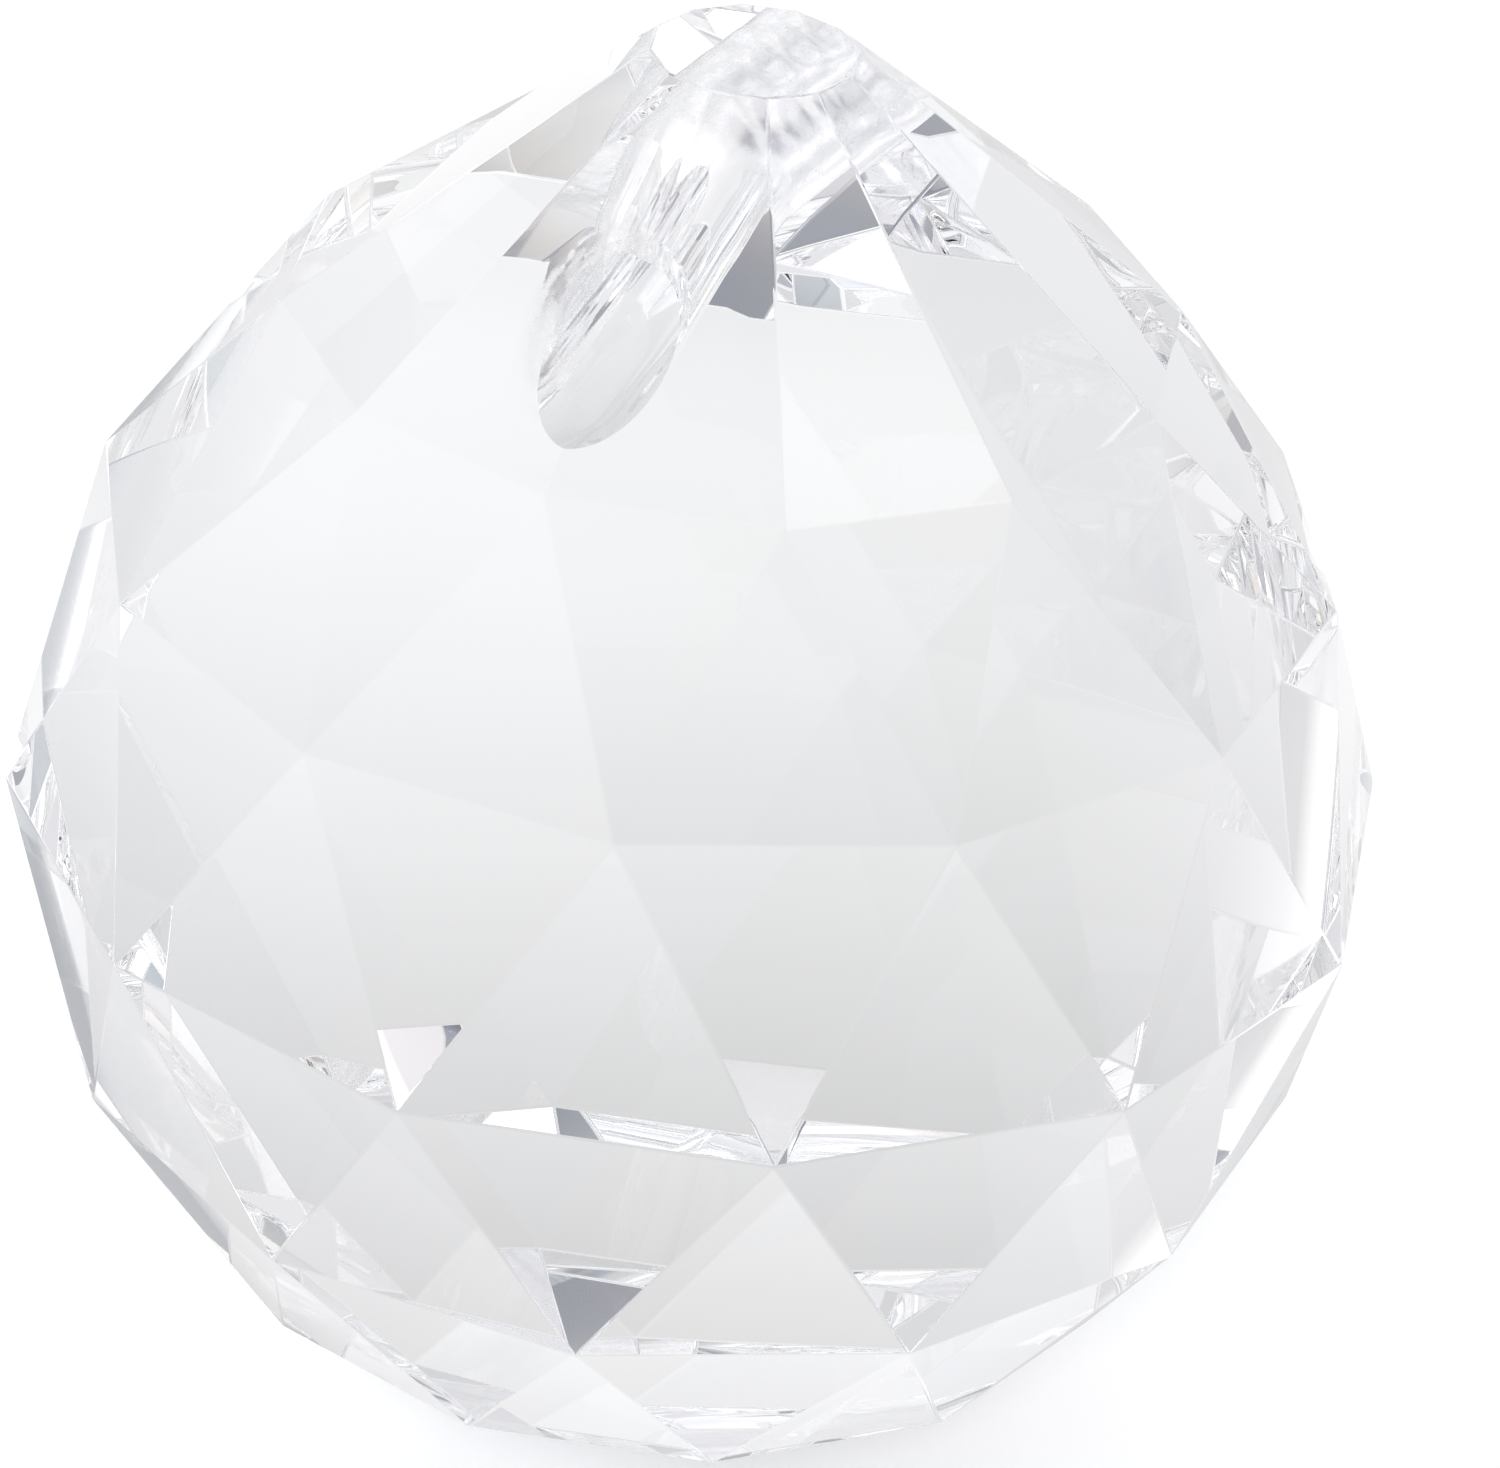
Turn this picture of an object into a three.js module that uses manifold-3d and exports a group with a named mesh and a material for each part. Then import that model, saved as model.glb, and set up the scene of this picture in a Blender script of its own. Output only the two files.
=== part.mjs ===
// Crystal suncatcher: one solid faceted ball of clear cut crystal with a pointed top.
// One hole is drilled across the tip, and the ball hangs from a thread through it.
// Millimetres, +Z up. The origin is midway between the two mouths of the hole, on the axis of the ball.

import * as THREE from "three";
import { ConvexGeometry } from "three/addons/geometries/ConvexGeometry.js";
import { mergeVertices } from "three/addons/utils/BufferGeometryUtils.js";
import Module from "manifold-3d";

// Every row of facets goes round the ball in the same number of steps
const FACETS_AROUND = 12;

// The widest ring of corners, the girdle, sets the size of the ball
const GIRDLE_RADIUS = 15;

// Rings above the girdle: a belt, the foot of the pointed crown, and the small flat on its tip
const UPPER_BELT_HEIGHT = 6.35;
const UPPER_BELT_RADIUS = 13.35;
const CROWN_HEIGHT = 11.7;
const CROWN_RADIUS = 9.55;
const TIP_HEIGHT = 17.65;
const TIP_RADIUS = 2.2;

// Rings below the girdle: a belt, the rim of the base cone, and the small flat underneath
const LOWER_BELT_HEIGHT = -6.0;
const LOWER_BELT_RADIUS = 13.55;
const BASE_HEIGHT = -10.85;
const BASE_RADIUS = 10.25;
const BOTTOM_HEIGHT = -13.4;
const BOTTOM_RADIUS = 2.2;

// The hanging hole runs level along Y, in under a ridge of the crown on both sides. It was drilled from
// both mouths, and the two bores meet a little beside the axis
const HOLE_HEIGHT = 13.75;
const HOLE_DIAMETER = 2.7;
const HOLE_SIDES = 32;
const HOLE_BEND = 0.65;

// Corners that fall closer together than this are one corner
const CORNER_TOLERANCE = 1e-4;

// One level ring of facet corners; a belt ring is turned by half a step against its neighbours
function ringCorners(height, radius, turn) {
  return Array.from({ length: FACETS_AROUND }, (_, corner) => {
    const angle = ((corner + turn) * 2 * Math.PI) / FACETS_AROUND;
    return new THREE.Vector3(radius * Math.cos(angle), radius * Math.sin(angle), height);
  });
}

// The cut ball is the convex solid on all its corners: triangles between a ring and a half-turned
// ring, long flat facets from the crown up to the tip and from the base down to the bottom
function cutBall() {
  const aligned = 0;
  const halfStep = 0.5;
  return new ConvexGeometry([
    ...ringCorners(TIP_HEIGHT, TIP_RADIUS, aligned),
    ...ringCorners(CROWN_HEIGHT, CROWN_RADIUS, aligned),
    ...ringCorners(UPPER_BELT_HEIGHT, UPPER_BELT_RADIUS, halfStep),
    ...ringCorners(0, GIRDLE_RADIUS, aligned),
    ...ringCorners(LOWER_BELT_HEIGHT, LOWER_BELT_RADIUS, halfStep),
    ...ringCorners(BASE_HEIGHT, BASE_RADIUS, aligned),
    ...ringCorners(BOTTOM_HEIGHT, BOTTOM_RADIUS, aligned),
  ]);
}

// The drilled space is a round bar on five rings: one in the middle, one at each mouth and one well
// outside each mouth. The middle ring is set aside, so both halves run straight from mouth to middle
function holeDrill() {
  const radius = HOLE_DIAMETER / 2;
  const lean = (CROWN_RADIUS - TIP_RADIUS) / (TIP_HEIGHT - CROWN_HEIGHT);
  const mouth = CROWN_RADIUS - (HOLE_HEIGHT - CROWN_HEIGHT) * lean;
  const drill = new THREE.CylinderGeometry(radius, radius, 4 * mouth, HOLE_SIDES, 4);
  const place = drill.attributes.position;
  for (let corner = 0; corner < place.count; corner += 1) {
    if (Math.abs(place.getY(corner)) < mouth / 2) place.setX(corner, place.getX(corner) - HOLE_BEND);
  }
  return drill.translate(0, 0, HOLE_HEIGHT);
}

const wasm = await Module();
wasm.setup();

// A closed geometry becomes a solid once its shared corners are merged
function toSolid(geometry) {
  geometry.deleteAttribute("normal");
  geometry.deleteAttribute("uv");
  const merged = mergeVertices(geometry, CORNER_TOLERANCE);
  return new wasm.Manifold(
    new wasm.Mesh({
      numProp: 3,
      vertProperties: Float32Array.from(merged.attributes.position.array),
      triVerts: Uint32Array.from(merged.index.array),
    }),
  );
}

// A solid becomes a geometry again, with one flat normal for each triangle
function toGeometry(solid) {
  const { vertProperties, triVerts } = solid.getMesh();
  const shared = new THREE.BufferGeometry();
  shared.setAttribute("position", new THREE.BufferAttribute(vertProperties, 3));
  shared.setIndex(new THREE.BufferAttribute(triVerts, 1));
  const faceted = shared.toNonIndexed();
  faceted.computeVertexNormals();
  return faceted;
}

const clearCrystal = new THREE.MeshStandardMaterial({
  name: "clear crystal",
  color: 0xf1f3f6,
  roughness: 0.02,
  metalness: 0,
  transparent: true,
  opacity: 0.35,
  flatShading: true,
});

const crystalBall = new THREE.Mesh(
  toGeometry(toSolid(cutBall()).subtract(toSolid(holeDrill()))),
  clearCrystal,
);
crystalBall.name = "crystal_ball";
crystalBall.position.z = -HOLE_HEIGHT;

const suncatcher = new THREE.Group();
suncatcher.name = "crystal_suncatcher";
suncatcher.add(crystalBall);

export default suncatcher;
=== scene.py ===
"""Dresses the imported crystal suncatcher: a cut ball of clear crystal with a drilled, chipped hanging hole.

The ball is one closed mesh. Its flat facets, the bore through the tip and the chipped mouth are worked out
from the cut's ring sizes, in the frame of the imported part. Its origin is midway between the hole's mouths.
"""

import math

import bmesh
import bpy
import numpy as np
from bpy.props import FloatProperty, FloatVectorProperty, IntProperty, PointerProperty
from mathutils import Matrix, Vector


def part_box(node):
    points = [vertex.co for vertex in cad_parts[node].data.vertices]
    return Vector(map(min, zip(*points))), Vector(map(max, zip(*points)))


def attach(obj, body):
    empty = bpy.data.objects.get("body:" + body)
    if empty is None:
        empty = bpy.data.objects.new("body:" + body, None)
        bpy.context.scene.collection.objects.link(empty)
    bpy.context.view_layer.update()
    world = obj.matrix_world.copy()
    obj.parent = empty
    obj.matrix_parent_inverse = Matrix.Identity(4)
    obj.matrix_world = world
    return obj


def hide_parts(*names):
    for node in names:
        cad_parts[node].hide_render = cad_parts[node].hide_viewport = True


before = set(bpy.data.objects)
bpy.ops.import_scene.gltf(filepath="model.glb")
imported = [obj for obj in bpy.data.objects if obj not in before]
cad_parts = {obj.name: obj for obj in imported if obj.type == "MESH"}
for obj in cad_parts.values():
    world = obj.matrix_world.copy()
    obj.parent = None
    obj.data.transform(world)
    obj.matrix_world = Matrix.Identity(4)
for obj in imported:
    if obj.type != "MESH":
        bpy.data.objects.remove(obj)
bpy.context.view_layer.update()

bl_info = {
    "name": "Crystal Suncatcher",
    "version": (1, 0, 0),
    "blender": (4, 5, 0),
    "location": "View3D > Sidebar > Suncatcher",
    "description": "Builds a faceted hanging ball of clear crystal and a soft studio around it",
    "category": "Add Mesh",
}

MM = 0.001
BALL_NODE = "crystal_ball"
BODY = "root"

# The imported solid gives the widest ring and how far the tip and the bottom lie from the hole
BALL_LOW, BALL_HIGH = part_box(BALL_NODE)
GIRDLE_RADIUS = BALL_HIGH[0]
TIP_ABOVE_HOLE = BALL_HIGH[2]
BOTTOM_BELOW_HOLE = -BALL_LOW[2]


class CrystalCut(bpy.types.PropertyGroup):
    """Sizes of the cut: rings of facet corners, given by height above the girdle and by radius."""

    facets_around: IntProperty(
        name="Facets Around", description="Facets in each row round the ball", default=12, min=6
    )
    girdle_radius: FloatProperty(
        name="Girdle Radius", description="Radius of the widest ring of corners",
        default=GIRDLE_RADIUS, unit="LENGTH",
    )
    hole_height: FloatProperty(
        name="Hole Height", description="Height of the hanging hole above the girdle",
        default=13.75 * MM, unit="LENGTH",
    )
    hole_diameter: FloatProperty(
        name="Hole Diameter", description="Diameter of the hanging hole",
        default=2.7 * MM, unit="LENGTH",
    )
    hole_bend: FloatProperty(
        name="Hole Bend", description="How far beside the axis the bores from both mouths meet",
        default=0.65 * MM, unit="LENGTH",
    )
    tip_radius: FloatProperty(
        name="Tip Radius", description="Radius of the small flat on the tip",
        default=2.2 * MM, unit="LENGTH",
    )
    crown_height: FloatProperty(
        name="Crown Height", description="Height of the foot of the pointed crown",
        default=11.7 * MM, unit="LENGTH",
    )
    crown_radius: FloatProperty(
        name="Crown Radius", description="Radius of the foot of the pointed crown",
        default=9.55 * MM, unit="LENGTH",
    )
    upper_belt_height: FloatProperty(
        name="Upper Belt Height", description="Height of the belt of corners above the girdle",
        default=6.35 * MM, unit="LENGTH",
    )
    upper_belt_radius: FloatProperty(
        name="Upper Belt Radius", description="Radius of the belt of corners above the girdle",
        default=13.35 * MM, unit="LENGTH",
    )
    lower_belt_height: FloatProperty(
        name="Lower Belt Height", description="Height of the belt of corners below the girdle",
        default=-6.0 * MM, unit="LENGTH",
    )
    lower_belt_radius: FloatProperty(
        name="Lower Belt Radius", description="Radius of the belt of corners below the girdle",
        default=13.55 * MM, unit="LENGTH",
    )
    base_height: FloatProperty(
        name="Base Height", description="Height of the rim of the cone underneath",
        default=-10.85 * MM, unit="LENGTH",
    )
    base_radius: FloatProperty(
        name="Base Radius", description="Radius of the rim of the cone underneath",
        default=10.25 * MM, unit="LENGTH",
    )
    bottom_radius: FloatProperty(
        name="Bottom Radius", description="Radius of the small flat underneath",
        default=2.2 * MM, unit="LENGTH",
    )
    edge_round: FloatProperty(
        name="Edge Round", description="Width of the polished round on the facet edges",
        default=0.045 * MM, unit="LENGTH",
    )


class BoreWear(bpy.types.PropertyGroup):
    """Sizes of the drill's marks and of the break at the front mouth of the hole."""

    streak_depth: FloatProperty(
        name="Streak Depth", description="Depth of the drill's streaks along the rough side of the bore",
        default=0.035 * MM, unit="LENGTH",
    )
    ripple_depth: FloatProperty(
        name="Ripple Depth", description="Depth of the shell-like ripples at the back of the bore",
        default=0.05 * MM, unit="LENGTH",
    )
    groove_depth: FloatProperty(
        name="Groove Depth", description="Depth of the soft groove along the floor of the front bore",
        default=0.09 * MM, unit="LENGTH",
    )
    chip_depth: FloatProperty(
        name="Chip Depth", description="How far the chipped rim of the front mouth is broken back",
        default=0.7 * MM, unit="LENGTH",
    )
    chip_reach: FloatProperty(
        name="Chip Reach", description="How far the broken rim spreads over the facet",
        default=0.8 * MM, unit="LENGTH",
    )


class CrystalFinish(bpy.types.PropertyGroup):
    """Colour and polish of the crystal."""

    tint: FloatVectorProperty(
        name="Tint", description="Colour that the crystal passes", subtype="COLOR", size=3,
        default=(0.985, 0.99, 1.0), min=0.0, max=1.0,
    )
    refraction: FloatProperty(
        name="Refraction", description="How strongly the crystal bends light", default=1.53, min=1.0
    )
    ground_roughness: FloatProperty(
        name="Ground Roughness", description="Roughness where the drill left the bore ground or broken",
        default=0.3, subtype="FACTOR", min=0.0, max=1.0,
    )


class StudioStage(bpy.types.PropertyGroup):
    """The pale floor and the camera."""

    floor_gap: FloatProperty(
        name="Floor Gap", description="Room between the bottom flat and the floor",
        default=4.0 * MM, unit="LENGTH",
    )
    floor_radius: FloatProperty(
        name="Floor Radius", description="Radius of the round floor", default=2.0, unit="LENGTH"
    )
    floor_colour: FloatVectorProperty(
        name="Floor Colour", description="Colour of the floor", subtype="COLOR", size=3,
        default=(0.9, 0.9, 0.9), min=0.0, max=1.0,
    )
    camera_azimuth: FloatProperty(
        name="Camera Azimuth", description="Angle of the camera round the axis, from the front of the hole",
        default=math.radians(21.68), subtype="ANGLE",
    )
    camera_elevation: FloatProperty(
        name="Camera Elevation", description="Angle of the camera above the girdle",
        default=math.radians(31.07), subtype="ANGLE",
    )
    camera_roll: FloatProperty(
        name="Camera Roll", description="Tilt of the picture", default=math.radians(4.54), subtype="ANGLE"
    )
    camera_distance: FloatProperty(
        name="Camera Distance", description="Distance from the lens to the middle of the ball",
        default=175.75 * MM, unit="LENGTH",
    )


# Samples of the swept surfaces: round the bore, along it, and outwards over the broken rim
BORE_STEPS = 192
BORE_ROWS = 96
RIM_ROWS = 14
# Part of the way from the rim to the facet's outline that the fine mesh round a mouth may take up
COLLAR_SHARE = 0.72
# How the steps outwards over the broken rim widen
COLLAR_SPACING = 1.3
# Segments of the polished rounds on the facet edges
EDGE_SEGMENTS = 2
# Corners nearer than this are one corner
WELD = 0.5e-3 * MM
# Facets that meet at less than this angle have no edge between them
FLAT_ANGLE = math.radians(3)
# Neighbouring faces of the fine mesh that turn more than this keep a crisp edge
CRISP_ANGLE = math.radians(14)


def ring_corners(cut, height, radius, turn):
    """Corners of one level ring: equal steps of angle round the axis, turned by a part of a step."""
    angle = (np.arange(cut.facets_around) + turn) * 2 * np.pi / cut.facets_around
    level = np.full(cut.facets_around, height - cut.hole_height)
    return np.stack([radius * np.cos(angle), radius * np.sin(angle), level], axis=1)


def cut_rings(cut):
    """All rings of corners from the tip down; the belts are turned half a step."""
    half = 0.5
    return {
        "tip": ring_corners(cut, TIP_ABOVE_HOLE + cut.hole_height, cut.tip_radius, 0),
        "crown": ring_corners(cut, cut.crown_height, cut.crown_radius, 0),
        "upper belt": ring_corners(cut, cut.upper_belt_height, cut.upper_belt_radius, half),
        "girdle": ring_corners(cut, 0, cut.girdle_radius, 0),
        "lower belt": ring_corners(cut, cut.lower_belt_height, cut.lower_belt_radius, half),
        "base": ring_corners(cut, cut.base_height, cut.base_radius, 0),
        "bottom": ring_corners(cut, cut.hole_height - BOTTOM_BELOW_HOLE, cut.bottom_radius, 0),
    }


def next_corner(ring):
    """The same ring counted from its next corner."""
    return np.roll(ring, -1, axis=0)


def plain_facets(rings, drilled):
    """Facet outlines: triangles between a ring and a half-turned ring, four-sided long facets from the crown
    to the tip and from the base to the bottom, and the two end flats. Leaves out the drilled crown facets."""
    tip, crown, upper, girdle, lower, base, bottom = rings.values()
    whole = np.setdiff1d(np.arange(len(crown)), drilled)
    long_crown = np.stack([crown, next_corner(crown), next_corner(tip), tip], axis=1)[whole]
    rows = [
        long_crown,
        np.stack([crown, upper, next_corner(crown)], axis=1),
        np.stack([upper, next_corner(crown), next_corner(upper)], axis=1),
        np.stack([upper, next_corner(girdle), next_corner(upper)], axis=1),
        np.stack([girdle, next_corner(girdle), upper], axis=1),
        np.stack([girdle, lower, next_corner(girdle)], axis=1),
        np.stack([lower, next_corner(lower), next_corner(girdle)], axis=1),
        np.stack([lower, next_corner(lower), next_corner(base)], axis=1),
        np.stack([base, next_corner(base), lower], axis=1),
        np.stack([base, bottom, next_corner(bottom), next_corner(base)], axis=1),
        tip[None],
        bottom[None],
    ]
    return [outline for row in rows for outline in row]


# Fine waves: the least and the spread of their number round the bore and of their drift along it
LEAST_PITCH = 5
PITCH_SPREAD = 17
LEAST_DRIFT = 0.6
DRIFT_SPREAD = 2.8


def waves(turn, along, count, seed):
    """An even field of fine waves, mostly between -1 and 1: a scaled mean of sines of two parameters whose
    pitches and phases follow fixed irrational steps, so it looks irregular and is the same each run."""
    step = np.arange(1, count + 1).reshape(-1, *[1] * turn.ndim)
    golden = (math.sqrt(5) - 1) / 2
    pitch = LEAST_PITCH + np.floor(PITCH_SPREAD * ((step * golden + seed) % 1))
    drift = LEAST_DRIFT + DRIFT_SPREAD * ((step * math.sqrt(2) + seed) % 1)
    phase = 2 * np.pi * ((step * math.sqrt(3) + seed) % 1)
    return np.sin(pitch * turn[None] + drift * along[None] + phase).mean(axis=0) * math.sqrt(count) / 2


def bell(value, middle, width):
    """A smooth hump: one at the middle, falling off as a bell curve of the given width."""
    return np.exp(-(((value - middle) / width) ** 2))


def side_angle(turn, middle):
    """Angle between a direction round the bore and a middle direction, from 0 to pi."""
    return np.abs((turn - middle + np.pi) % (2 * np.pi) - np.pi)


# Directions round the bore: 0 towards +X, a quarter turn up. The rough side is the one towards -X. The
# spreads are widths of bell curves, in radians
ROUGH_MIDDLE = math.radians(172)
ROUGH_SPREAD = math.radians(48)
GROOVE_MIDDLE = math.radians(-83)
GROOVE_SPREAD = math.radians(13)
CHIP_MIDDLE = math.radians(148)
CHIP_SPREAD = math.radians(46)
OVERHEAD_MIDDLE = math.radians(90)
OVERHEAD_SPREAD = 1.1

# The broken rim: its ragged waves, the power of its hollow, and its fine steps outwards and round
CHIP_RAGGED = 0.35
CHIP_WAVES = 9
CHIP_WAVE_STRETCH = 4
CHIP_WAVE_SEED = 0.21
CHIP_HOLLOW = 2.2
CHIP_STEP_DEPTH = 0.10
CHIP_STEPS_OUT = 16
CHIP_STEPS_ROUND = 5
# Part of the chip's depth from which the break is fully rough
BROKEN_SHARE = 0.12

# Places along the bore are parts of its length, from the front rim to the back rim. The marks fade in
# over one part in this many at both rims
RIM_FADE = 14
STREAK_WAVES = 23
STREAK_PITCH = 2.0
STREAK_DRIFT = 5
STREAK_SEED = 0.37
RIPPLE_PITCH = 58
RIPPLE_SWAY = 3
RIPPLE_LOBES = 2
RIPPLE_MIDDLE = 0.72
RIPPLE_SPREAD = 0.2
GROOVE_END = 0.5
GROOVE_FADE = 4
FROST_START = 0.40
FROST_FADE = 0.08
# Roughness of the rough side and of the frosted back, less what stays polished
ROUGH_GAIN = 1.3
FROST_GAIN = 0.9
POLISHED = 0.12


def crown_depth(cut, across, level):
    """Distance of the two drilled facets from the mid plane, along the bore: the ridge's radius at that
    level, less the fall of the facet with the distance from the ridge."""
    tip_height = TIP_ABOVE_HOLE + cut.hole_height
    slope = (cut.crown_radius - cut.tip_radius) / (tip_height - cut.crown_height)
    ridge = cut.crown_radius - (level + cut.hole_height - cut.crown_height) * slope
    return ridge - math.tan(math.pi / cut.facets_around) * np.abs(across)


def facet_room(cut, turn):
    """Distance from the bore's axis to the outline of a drilled facet, seen along the bore: the least of the
    distances to its foot line, its top line and its far edge."""
    step = 2 * math.pi / cut.facets_around
    foot = cut.crown_height - cut.hole_height
    foot_width = cut.crown_radius * math.sin(step)
    top_width = cut.tip_radius * math.sin(step)
    lean = (foot_width - top_width) / (TIP_ABOVE_HOLE - foot)
    across = np.abs(np.cos(turn))
    rise = np.sin(turn)
    tiny = 1e-9
    to_foot = np.where(rise < -tiny, foot / np.minimum(rise, -tiny), np.inf)
    to_top = np.where(rise > tiny, TIP_ABOVE_HOLE / np.maximum(rise, tiny), np.inf)
    to_edge = (foot_width + lean * foot) / np.maximum(across + lean * rise, tiny)
    return np.minimum(np.minimum(to_foot, to_top), to_edge)


def chip_fall(wear, turn, outward):
    """How far the broken front rim lies behind the facet: deepest at the rim on the chipped side, rising to
    the facet in a shell-like hollow with fine steps."""
    side = bell(side_angle(turn, CHIP_MIDDLE), 0, CHIP_SPREAD)
    ragged = 1 + CHIP_RAGGED * waves(turn, outward * CHIP_WAVE_STRETCH, CHIP_WAVES, CHIP_WAVE_SEED)
    hollow = np.clip(1 - outward, 0, 1) ** CHIP_HOLLOW
    steps = 1 + CHIP_STEP_DEPTH * np.sin(CHIP_STEPS_OUT * outward + CHIP_STEPS_ROUND * turn)
    return wear.chip_depth * side * ragged * hollow * steps


def mouth_collar(cut, wear, facing):
    """The fine mesh of one mouth: directions round the bore by steps outwards from the rim. Each point lies
    on the drilled facet over it, and behind it where the front rim is chipped. Gives the points and how rough
    each is."""
    turn = -np.pi / 2 + 2 * np.pi * np.arange(BORE_STEPS) / BORE_STEPS
    outward = np.linspace(0, 1, RIM_ROWS) ** COLLAR_SPACING
    turn, outward = np.meshgrid(turn, outward, indexing="ij")
    rim = cut.hole_diameter / 2
    reach = np.minimum(wear.chip_reach, COLLAR_SHARE * (facet_room(cut, turn) - rim))
    distance = rim + outward * reach
    across = distance * np.cos(turn)
    level = distance * np.sin(turn)
    depth = crown_depth(cut, across, level)
    broken = np.zeros_like(depth)
    if facing < 0:
        broken = chip_fall(wear, turn, outward)
    points = np.stack([across, facing * (depth - broken), level], axis=-1)
    return points, np.clip(broken / (BROKEN_SHARE * wear.chip_depth), 0, 1)


def bore_wall(cut, wear, front_rim, back_rim):
    """The wall of the bore: each row runs from the front rim to the back rim, set aside towards the middle
    where the two bores meet, and pushed outwards by long streaks on the rough side, by a soft groove along
    the front floor and by ripples overhead near the back. All of these fade out at the rims. Gives the points
    and how rough each is: on the rough side, and all round at the back."""
    turn = -np.pi / 2 + 2 * np.pi * np.arange(BORE_STEPS) / BORE_STEPS
    along = np.linspace(0, 1, BORE_ROWS)
    turn, along = np.meshgrid(turn, along, indexing="ij")
    rough = bell(side_angle(turn, ROUGH_MIDDLE), 0, ROUGH_SPREAD)
    fade = np.clip(np.minimum(along, 1 - along) * RIM_FADE, 0, 1)
    streaks = waves(turn * STREAK_PITCH, along * STREAK_DRIFT, STREAK_WAVES, STREAK_SEED)
    sway = RIPPLE_SWAY * np.sin(RIPPLE_LOBES * turn)
    ripples = np.sin(RIPPLE_PITCH * along + sway) * bell(along, RIPPLE_MIDDLE, RIPPLE_SPREAD)
    overhead = bell(side_angle(turn, OVERHEAD_MIDDLE), 0, OVERHEAD_SPREAD)
    groove = bell(side_angle(turn, GROOVE_MIDDLE), 0, GROOVE_SPREAD)
    groove *= np.clip(GROOVE_FADE * (GROOVE_END - along), 0, 1)
    push = wear.streak_depth * rough * streaks + wear.ripple_depth * overhead * ripples
    push = fade * (push + wear.groove_depth * groove)
    straight = front_rim[:, None] + along[..., None] * (back_rim - front_rim)[:, None]
    mouth = crown_depth(cut, 0, 0)
    bend = fade * cut.hole_bend * np.clip(1 - np.abs(straight[..., 1]) / mouth, 0, 1)
    straight[..., 0] -= bend
    outwards = np.stack([np.cos(turn), np.zeros_like(turn), np.sin(turn)], axis=-1)
    frosted = np.clip((along - FROST_START) / FROST_FADE, 0, 1)
    ground = np.clip(ROUGH_GAIN * rough + FROST_GAIN * frosted - POLISHED, 0, 1)
    return straight + push[..., None] * outwards, ground


def grid_faces(rows, columns):
    """Corner numbers of the four-sided faces of a grid of points whose last row joins its first."""
    index = np.arange(rows * columns).reshape(rows, columns)
    ahead = np.roll(index, -1, axis=0)
    faces = np.stack([index[:, :-1], ahead[:, :-1], ahead[:, 1:], index[:, 1:]], axis=-1)
    return faces.reshape(-1, 4)


def drilled_facets(cut, rings, collar, facing):
    """Outlines of the two flat facets round a mouth: half of the collar's outer loop, then the facet's four
    corners."""
    quarter = cut.facets_around // 4
    ridge = 3 * quarter if facing < 0 else quarter
    outer = collar[:, -1]
    half = BORE_STEPS // 2
    loop = np.concatenate([outer, outer[:1]])
    outlines = []
    for side, points in ((1, loop[: half + 1]), (-1, loop[half:][::-1])):
        step = side if facing < 0 else -side
        corner = (ridge + step) % cut.facets_around
        corners = [rings["tip"][ridge], rings["tip"][corner], rings["crown"][corner], rings["crown"][ridge]]
        outlines.append(np.concatenate([points, corners]))
    return outlines


def mark_edges(mesh):
    """Gives the facets' edges a bevel weight: both faces are flat facets and they meet at an angle."""
    corner_edge = np.empty(len(mesh.loops), dtype=np.int32)
    mesh.loops.foreach_get("edge_index", corner_edge)
    sides = np.empty(len(mesh.polygons), dtype=np.int32)
    mesh.polygons.foreach_get("loop_total", sides)
    normals = np.empty(3 * len(mesh.polygons), dtype=np.float32)
    mesh.polygons.foreach_get("normal", normals)
    normals = normals.reshape(-1, 3)
    owner = np.repeat(np.arange(len(sides)), sides)
    order = np.argsort(corner_edge, kind="stable")
    pairs = owner[order].reshape(-1, 2)
    turned = (normals[pairs[:, 0]] * normals[pairs[:, 1]]).sum(axis=1) < math.cos(FLAT_ANGLE)
    flat = np.zeros(len(sides), dtype=bool)
    mesh.attributes["facet"].data.foreach_get("value", flat)
    weight = (turned & flat[pairs[:, 0]] & flat[pairs[:, 1]]).astype(np.float32)
    mesh.attributes.new("bevel_weight_edge", "FLOAT", "EDGE").data.foreach_set("value", weight)


def crystal_mesh(cut, wear):
    """The whole ball as one closed mesh, with the attribute ground for its rough places."""
    rings = cut_rings(cut)
    quarter = cut.facets_around // 4
    drilled = [quarter - 1, quarter, 3 * quarter - 1, 3 * quarter]
    front, front_ground = mouth_collar(cut, wear, -1)
    back, back_ground = mouth_collar(cut, wear, 1)
    wall, wall_ground = bore_wall(cut, wear, front[:, 0], back[:, 0])
    outlines = plain_facets(rings, drilled)
    outlines += drilled_facets(cut, rings, front, -1)
    outlines += drilled_facets(cut, rings, back, 1)
    points, faces, ground, facet = [], [], [], []
    start = 0
    for outline in outlines:
        points.append(outline)
        ground.append(np.zeros(len(outline)))
        faces.append(tuple(range(start, start + len(outline))))
        facet.append(True)
        start += len(outline)
    for grid, rough in ((front, front_ground), (back, back_ground), (wall, wall_ground)):
        rows, columns = rough.shape
        points.append(grid.reshape(-1, 3))
        ground.append(rough.ravel())
        quads = grid_faces(rows, columns) + start
        faces.extend(map(tuple, quads.tolist()))
        facet.extend([False] * len(quads))
        start += rows * columns
    mesh = bpy.data.meshes.new(BALL_NODE)
    mesh.from_pydata(np.concatenate(points), [], faces)
    mesh.attributes.new("ground", "FLOAT", "POINT").data.foreach_set("value", np.concatenate(ground))
    mesh.attributes.new("facet", "BOOLEAN", "FACE").data.foreach_set("value", np.array(facet))
    mesh.polygons.foreach_set("use_smooth", ~np.array(facet))
    close_mesh(mesh)
    mark_edges(mesh)
    mesh.set_sharp_from_angle(angle=CRISP_ANGLE)
    return mesh


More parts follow.
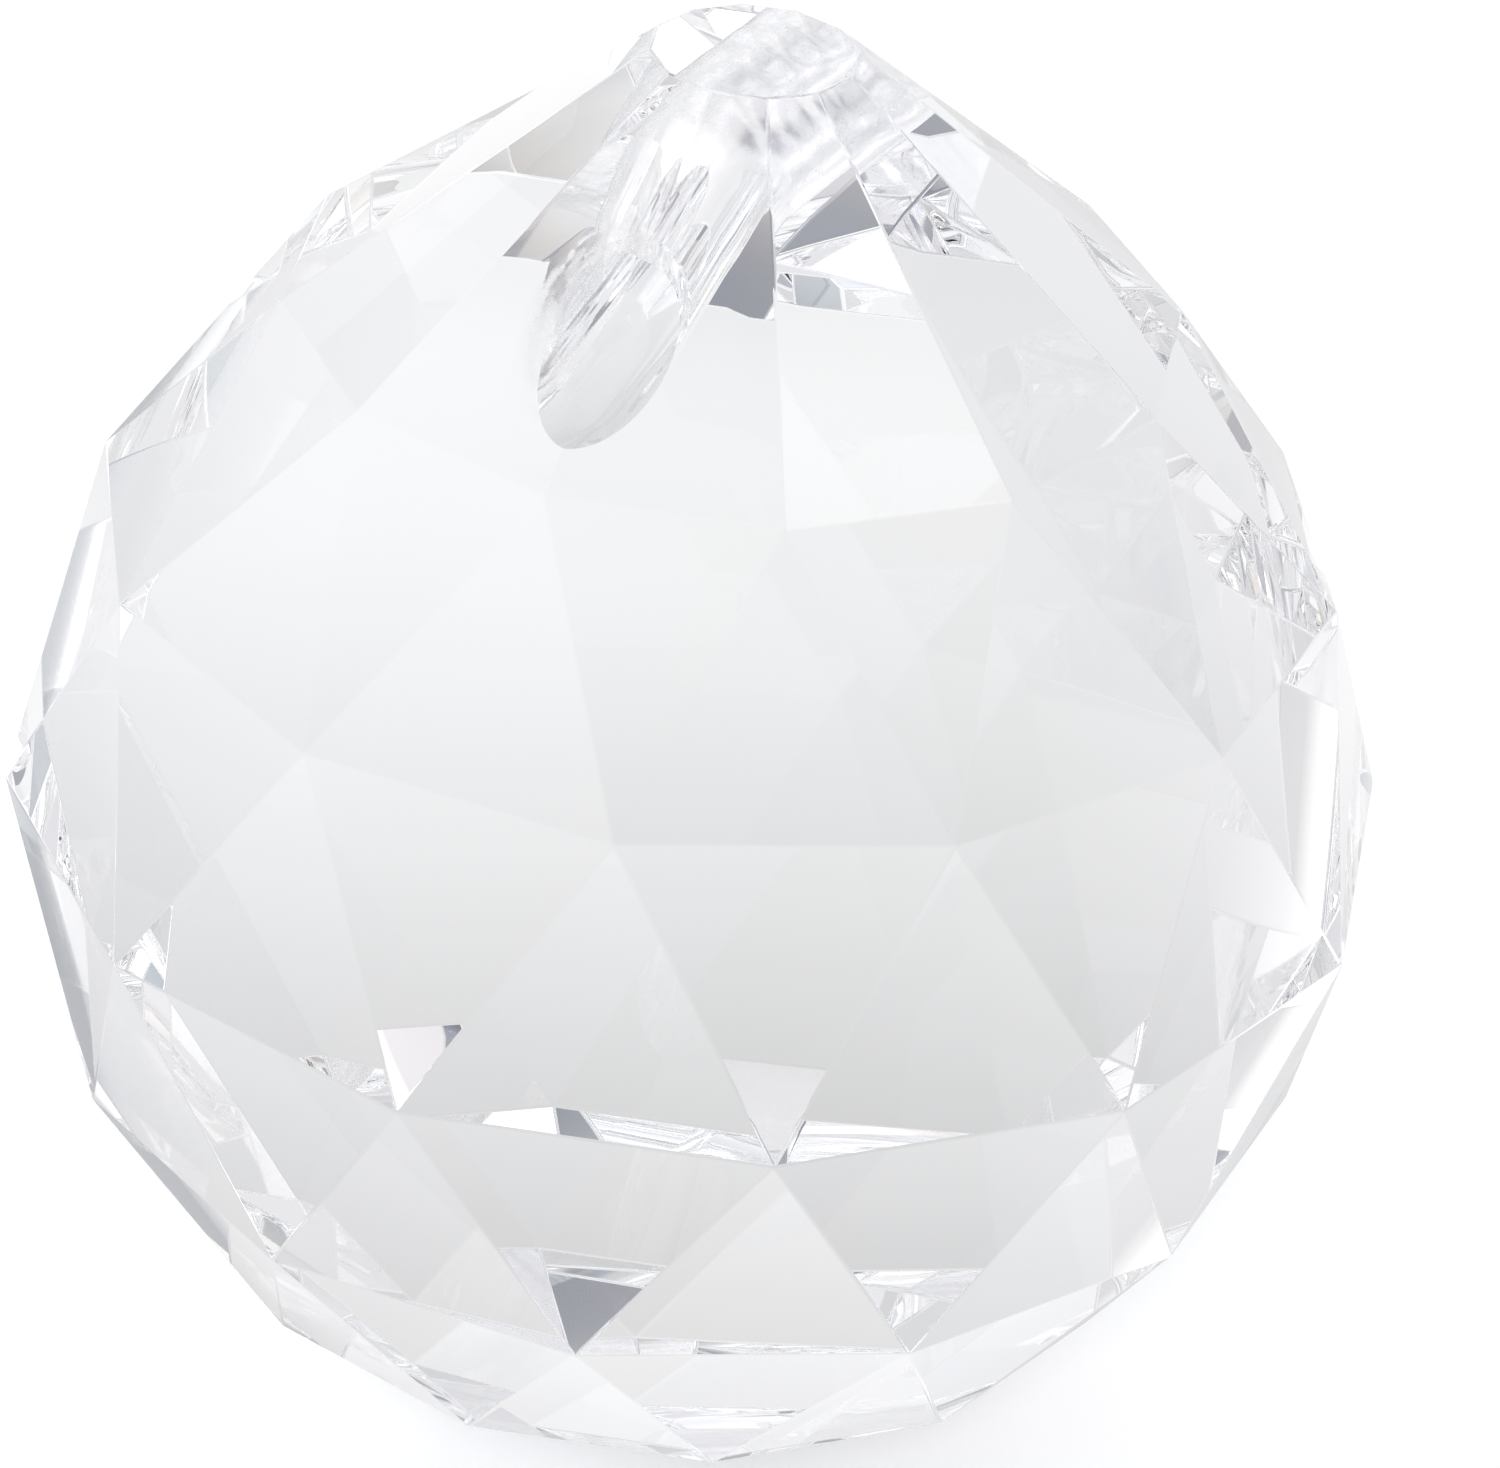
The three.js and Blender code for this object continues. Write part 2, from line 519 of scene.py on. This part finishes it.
def close_mesh(mesh):
    """Merges the corners that patches share, turns the faces outwards and makes sure that no gap is left."""
    work = bmesh.new()
    work.from_mesh(mesh)
    bmesh.ops.remove_doubles(work, verts=work.verts[:], dist=WELD)
    bmesh.ops.recalc_face_normals(work, faces=work.faces[:])
    open_edges = sum(not edge.is_manifold for edge in work.edges)
    if work.calc_volume(signed=True) < 0:
        bmesh.ops.reverse_faces(work, faces=work.faces[:])
    work.to_mesh(mesh)
    work.free()
    if open_edges:
        raise RuntimeError(f"the crystal's mesh has {open_edges} open edges")


class Value:
    """A number socket of a shader tree. Python operators on it add Math nodes."""

    def __init__(self, tree, socket):
        self.tree = tree
        self.socket = socket

    def math(self, operation, first, second):
        """A Math node on two numbers or sockets."""
        return self.tree.add("ShaderNodeMath", {"operation": operation}, {0: first, 1: second})

    def __add__(self, other):
        return self.math("ADD", self, other)

    __radd__ = __add__

    def __mul__(self, other):
        return self.math("MULTIPLY", self, other)

    __rmul__ = __mul__

    def __sub__(self, other):
        return self.math("SUBTRACT", self, other)

    def __rsub__(self, other):
        return self.math("SUBTRACT", other, self)


class ShaderTree:
    """Adds nodes to a material or a world."""

    def __init__(self, owner):
        owner.use_nodes = True
        self.nodes = owner.node_tree.nodes
        self.links = owner.node_tree.links
        self.nodes.clear()

    def add(self, kind, settings=None, inputs=None, output=0):
        """A new node of this kind, with its settings first and then its sockets' values or links. Gives its
        output as a value."""
        node = self.nodes.new(kind)
        for name, setting in (settings or {}).items():
            setattr(node, name, setting)
        for name, value in (inputs or {}).items():
            if isinstance(value, Value):
                self.links.new(value.socket, node.inputs[name])
            else:
                node.inputs[name].default_value = value
        if len(node.outputs) == 0:
            return node
        return Value(self, node.outputs[output])


# Grain of the rough places: waves in a metre, finer layers, roughness at the least and its spread, and bumps
GRAIN_SCALE = 5200.0
GRAIN_DETAIL = 3.0
GRAIN_LEAST = 0.4
GRAIN_SPREAD = 1.2
BUMP_STRENGTH = 0.25
BUMP_DEPTH = 0.02 * MM


def clear_crystal(finish):
    """Clear colourless crystal: polished facets, and a rough grain where the bore is ground or broken."""
    material = bpy.data.materials.new("clear crystal")
    tree = ShaderTree(material)
    ground = tree.add("ShaderNodeAttribute", {"attribute_name": "ground"}, output="Fac")
    place = tree.add("ShaderNodeTexCoord", output="Object")
    grain = tree.add(
        "ShaderNodeTexNoise",
        inputs={"Vector": place, "Scale": GRAIN_SCALE, "Detail": GRAIN_DETAIL},
        output="Fac",
    )
    rough = finish.ground_roughness * ground * (GRAIN_LEAST + GRAIN_SPREAD * grain)
    uneven = tree.add(
        "ShaderNodeBump",
        inputs={"Strength": BUMP_STRENGTH, "Distance": BUMP_DEPTH, "Height": grain * ground},
    )
    glass = tree.add(
        "ShaderNodeBsdfPrincipled",
        inputs={
            "Base Color": (*finish.tint, 1.0),
            "Roughness": rough,
            "IOR": finish.refraction,
            "Transmission Weight": 1.0,
            "Normal": uneven,
        },
    )
    tree.add("ShaderNodeOutputMaterial", inputs={"Surface": glass})
    return material


class SUNCATCHER_OT_crystal_ball(bpy.types.Operator):
    """Build the cut crystal ball with its drilled hole"""

    bl_idname = "suncatcher.crystal_ball"
    bl_label = "Crystal Ball"

    def execute(self, context):
        scene = context.scene
        mesh = crystal_mesh(scene.suncatcher_cut, scene.suncatcher_wear)
        mesh.materials.append(clear_crystal(scene.suncatcher_finish))
        ball = bpy.data.objects.new("cut_crystal_ball", mesh)
        scene.collection.objects.link(ball)
        rounds = ball.modifiers.new("polished edges", "BEVEL")
        rounds.limit_method = "WEIGHT"
        rounds.width = scene.suncatcher_cut.edge_round
        rounds.segments = EDGE_SEGMENTS
        rounds.use_clamp_overlap = False
        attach(ball, BODY)
        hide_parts(BALL_NODE)
        return {"FINISHED"}


def camera_axes(stage):
    """Right, up and backward directions of the camera before its small aim correction: a turn round the axis,
    a lift above the girdle, then a roll."""
    azimuth = stage.camera_azimuth
    elevation = stage.camera_elevation
    level = Vector((math.cos(azimuth), math.sin(azimuth), 0))
    ahead = Vector((math.sin(azimuth), -math.cos(azimuth), 0))
    axis = Vector((0, 0, 1))
    backward = ahead * math.cos(elevation) + axis * math.sin(elevation)
    upright = axis * math.cos(elevation) - ahead * math.sin(elevation)
    right = level * math.cos(stage.camera_roll) + upright * math.sin(stage.camera_roll)
    up = upright * math.cos(stage.camera_roll) - level * math.sin(stage.camera_roll)
    return right, up, backward


# The photograph's frame, and where the ball's middle lies in it, in pixels from the upper left
PHOTO_WIDTH = 1500
PHOTO_HEIGHT = 1468
PHOTO_MIDDLE_X = 698.4
PHOTO_MIDDLE_Y = 760.0
# One millimetre at the ball's middle is this many pixels
PHOTO_PIXELS_PER_MM = 46.013
SENSOR_WIDTH = 36.0
# Height above the girdle of the point that the camera's distance is measured to
MIDDLE_HEIGHT = 0.4933 * MM
CLIP_START = 10 * MM


def add_camera(scene, stage, cut):
    """A camera at the photograph's angle, aimed so that the ball's middle falls on its pixel. Gives that
    middle and the camera's directions."""
    right, up, backward = camera_axes(stage)
    middle = Vector((0, 0, MIDDLE_HEIGHT - cut.hole_height))
    place = middle + backward * stage.camera_distance
    pixel = MM / PHOTO_PIXELS_PER_MM
    aim = middle + right * (PHOTO_WIDTH / 2 - PHOTO_MIDDLE_X) * pixel
    aim -= up * (PHOTO_HEIGHT / 2 - PHOTO_MIDDLE_Y) * pixel
    z_axis = (place - aim).normalized()
    x_axis = (right - z_axis * right.dot(z_axis)).normalized()
    y_axis = z_axis.cross(x_axis)
    data = bpy.data.cameras.new("camera")
    data.sensor_width = SENSOR_WIDTH
    data.lens = stage.camera_distance / pixel / PHOTO_WIDTH * SENSOR_WIDTH
    data.clip_start = CLIP_START
    camera = bpy.data.objects.new("camera", data)
    scene.collection.objects.link(camera)
    turn = Matrix((x_axis, y_axis, z_axis)).transposed().to_4x4()
    camera.matrix_world = Matrix.Translation(place) @ turn
    scene.camera = camera
    return middle, right, up, backward


# The light behind the camera: how far from the ball it stands, its width, and its brightness to look at
KEY_DISTANCE = 0.5
KEY_SIZE = 0.12
KEY_RADIANCE = 50.0


def add_floor_light(scene, middle, backward):
    """A round soft light behind the camera, facing the ball. The camera and the crystal don't see it."""
    data = bpy.data.lights.new("key", "AREA")
    data.shape = "DISK"
    data.size = KEY_SIZE
    data.energy = KEY_RADIANCE * math.pi * math.pi * (KEY_SIZE / 2) ** 2
    light = bpy.data.objects.new("key", data)
    scene.collection.objects.link(light)
    facing = backward.to_track_quat("Z", "Y").to_matrix().to_4x4()
    light.matrix_world = Matrix.Translation(middle + backward * KEY_DISTANCE) @ facing
    light.visible_camera = False
    light.visible_glossy = False
    light.visible_transmission = False


# The room's even light, and its patches: the middle of each as parts of the camera's right, up and backward
# directions, the angles in degrees at which it is full and gone, and its strength
ROOM_LEVEL = 0.62
LEFT_WINDOW = ((-0.80, 0.30, 0.45), 0, 55, 1.0)
RIGHT_WINDOW = ((0.51, 0.65, 0.56), 5, 24, 1.5)
UPPER_GLOW = ((0.0, 0.9, -0.4), 15, 45, 0.15)
LOWER_GLOW = ((0.0, -0.9, -0.4), 12, 32, 0.30)
BACKLIGHT = ((0.30, -0.22, -0.93), 0, 45, 0.09)
BACK_SHADE = ((0.0, 0.0, -1.0), 75, 95, 0.05)
# The two dark places, without a strength, because it differs with the colour
CAMERA_SIDE = ((0.30, 0.08, 1.0), 6, 28)
DOORWAY = ((0.85, 0.52, 0.10), 8, 30)
# How far the patches of red and blue lie from those of green, as parts of right and up
COLOUR_SHIFT = (-0.012, 0.016)
# For each colour: its share of the shift, the depth of the dark places and the light added at the sides
ROOM_COLOURS = {"Red": (-1, 0.60, 0.15), "Green": (0, 0.57, 0.145), "Blue": (1, 0.50, 0.18)}


def soft_room(scene, right, up, backward):
    """An even pale room, brighter at the sides by the sixth power of the sine of the angle to the line of
    sight. It has soft windows left and upper right of the camera, faint glows above, below and behind the
    ball, and two darker places, by the camera and far right. Each is a smooth patch of directions: full at
    its middle, gone at its rim. The patches of red, green and blue lie a little apart, so their rims are warm
    on one side and cool on the other."""
    world = bpy.data.worlds.new("soft room")
    scene.world = world
    tree = ShaderTree(world)
    direction = tree.add("ShaderNodeTexCoord", output="Generated")
    shift = right * COLOUR_SHIFT[0] + up * COLOUR_SHIFT[1]

    def nearness(middle):
        """Cosine of the angle between the direction looked at and a middle direction."""
        return tree.add(
            "ShaderNodeVectorMath",
            {"operation": "DOT_PRODUCT"},
            {0: direction, 1: middle.normalized()},
            output="Value",
        )

    def patch(parts, full, gone, strength, share=0):
        """A smooth patch of directions, from its full part to its rim, moved by a share of the shift."""
        middle = right * parts[0] + up * parts[1] + backward * parts[2] + shift * share
        return tree.add(
            "ShaderNodeMapRange",
            {"interpolation_type": "SMOOTHSTEP"},
            {
                "Value": nearness(middle),
                "From Min": math.cos(math.radians(gone)),
                "From Max": math.cos(math.radians(full)),
                "To Min": 0.0,
                "To Max": strength,
            },
        )

    toward = nearness(backward)
    across = 1.0 - toward * toward
    sideways = across * across * across
    behind = patch(*BACKLIGHT) - patch(*BACK_SHADE)

    def glow(share, dark, sides):
        """The room's brightness in one colour: its patches moved by this share, its dark places this deep and
        its sides this much brighter."""
        windows = patch(*LEFT_WINDOW, share) + patch(*RIGHT_WINDOW, share)
        glows = patch(*UPPER_GLOW, share) + patch(*LOWER_GLOW, share)
        light = ROOM_LEVEL + windows + glows + behind + sides * sideways
        return light * (1.0 - patch(*CAMERA_SIDE, dark, share)) * (1.0 - patch(*DOORWAY, dark, share))

    colour = tree.add(
        "ShaderNodeCombineColor", inputs={name: glow(*values) for name, values in ROOM_COLOURS.items()}
    )
    background = tree.add("ShaderNodeBackground", inputs={"Color": colour, "Strength": 1.0})
    tree.add("ShaderNodeOutputWorld", inputs={"Surface": background})


# The card behind the ball, and its glow: where each smooth step starts and ends, and how much it adds
CARD_RADIUS = 80 * MM
CARD_DISTANCE = 15.3 * MM
CARD_SEGMENTS = 64
BAND_RISE = (-9.5 * MM, 4 * MM, 0.28)
BAND_FALL = (4 * MM, 11 * MM, 0.21)
RIM_RISE = (11 * MM, 30 * MM, 0.22)


def add_disc(scene, name, radius, segments, material):
    """A flat round sheet of the stage with one material."""
    work = bmesh.new()
    bmesh.ops.create_circle(work, cap_ends=True, radius=radius, segments=segments)
    mesh = bpy.data.meshes.new(name)
    work.to_mesh(mesh)
    work.free()
    mesh.materials.append(material)
    disc = bpy.data.objects.new(name, mesh)
    scene.collection.objects.link(disc)
    return disc


def glowing_card():
    """A clear sheet that adds light: a level band that rises over one stretch of height and falls over the
    next, and more towards the rim."""
    material = bpy.data.materials.new("light card")
    tree = ShaderTree(material)
    place = tree.add("ShaderNodeTexCoord", output="Object")
    distance = tree.add("ShaderNodeVectorMath", {"operation": "LENGTH"}, {0: place}, output="Value")
    height = tree.add("ShaderNodeSeparateXYZ", inputs={0: place}, output="Y")

    def ramp(value, start, end, strength):
        """A smooth step over a stretch."""
        return tree.add(
            "ShaderNodeMapRange",
            {"interpolation_type": "SMOOTHSTEP"},
            {"Value": value, "From Min": start, "From Max": end, "To Min": 0.0, "To Max": strength},
        )

    band = ramp(height, *BAND_RISE) - ramp(height, *BAND_FALL)
    glow = tree.add("ShaderNodeEmission", inputs={"Color": band + ramp(distance, *RIM_RISE)})
    clear = tree.add("ShaderNodeBsdfTransparent")
    both = tree.add("ShaderNodeAddShader", inputs={0: glow, 1: clear})
    tree.add("ShaderNodeOutputMaterial", inputs={"Surface": both})
    return material


def add_card(scene, middle, backward):
    """The card close behind the ball, facing the camera and seen only in the crystal."""
    card = add_disc(scene, "light_card", CARD_RADIUS, CARD_SEGMENTS, glowing_card())
    facing = backward.to_track_quat("Z", "Y").to_matrix().to_4x4()
    card.matrix_world = Matrix.Translation(middle - backward * CARD_DISTANCE) @ facing
    card.visible_camera = False
    card.visible_diffuse = False
    card.visible_shadow = False


def pale_floor(stage):
    """Plain matt floor."""
    material = bpy.data.materials.new("pale floor")
    tree = ShaderTree(material)
    matt = tree.add(
        "ShaderNodeBsdfPrincipled",
        inputs={"Base Color": (*stage.floor_colour, 1.0), "Roughness": 1.0, "Specular IOR Level": 0.0},
    )
    tree.add("ShaderNodeOutputMaterial", inputs={"Surface": matt})
    return material


FLOOR_SEGMENTS = 96
# How often light may turn inside the crystal before it is given up. Fewer leave dark splinters in the facets
LIGHT_BOUNCES = 48


class SUNCATCHER_OT_stage(bpy.types.Operator):
    """Set up the floor, the camera, the soft room, the card behind the ball and the light"""

    bl_idname = "suncatcher.stage"
    bl_label = "Stage"

    def execute(self, context):
        scene = context.scene
        stage = scene.suncatcher_stage
        floor = add_disc(scene, "floor", stage.floor_radius, FLOOR_SEGMENTS, pale_floor(stage))
        floor.location.z = -BOTTOM_BELOW_HOLE - stage.floor_gap
        floor.visible_transmission = False
        floor.visible_glossy = False
        middle, right, up, backward = add_camera(scene, stage, scene.suncatcher_cut)
        soft_room(scene, right, up, backward)
        add_card(scene, middle, backward)
        add_floor_light(scene, middle, backward)
        scene.view_settings.view_transform = "Standard"
        scene.cycles.max_bounces = LIGHT_BOUNCES
        scene.cycles.glossy_bounces = LIGHT_BOUNCES
        scene.cycles.transmission_bounces = LIGHT_BOUNCES
        return {"FINISHED"}


class SUNCATCHER_PT_panel(bpy.types.Panel):
    """Lists the steps that build the suncatcher"""

    bl_label = "Suncatcher"
    bl_idname = "SUNCATCHER_PT_panel"
    bl_space_type = "VIEW_3D"
    bl_region_type = "UI"
    bl_category = "Suncatcher"

    def draw(self, context):
        layout = self.layout
        layout.operator(SUNCATCHER_OT_crystal_ball.bl_idname)
        layout.operator(SUNCATCHER_OT_stage.bl_idname)


CLASSES = (
    CrystalCut,
    BoreWear,
    CrystalFinish,
    StudioStage,
    SUNCATCHER_OT_crystal_ball,
    SUNCATCHER_OT_stage,
    SUNCATCHER_PT_panel,
)
SETTINGS = {
    "suncatcher_cut": CrystalCut,
    "suncatcher_wear": BoreWear,
    "suncatcher_finish": CrystalFinish,
    "suncatcher_stage": StudioStage,
}


def register():
    for cls in CLASSES:
        bpy.utils.register_class(cls)
    for name, group in SETTINGS.items():
        setattr(bpy.types.Scene, name, PointerProperty(type=group))


def unregister():
    for name in SETTINGS:
        delattr(bpy.types.Scene, name)
    for cls in reversed(CLASSES):
        bpy.utils.unregister_class(cls)


def main():
    """Builds the ball and its stage."""
    register()
    bpy.ops.suncatcher.crystal_ball()
    bpy.ops.suncatcher.stage()


if __name__ == "__main__":
    main()
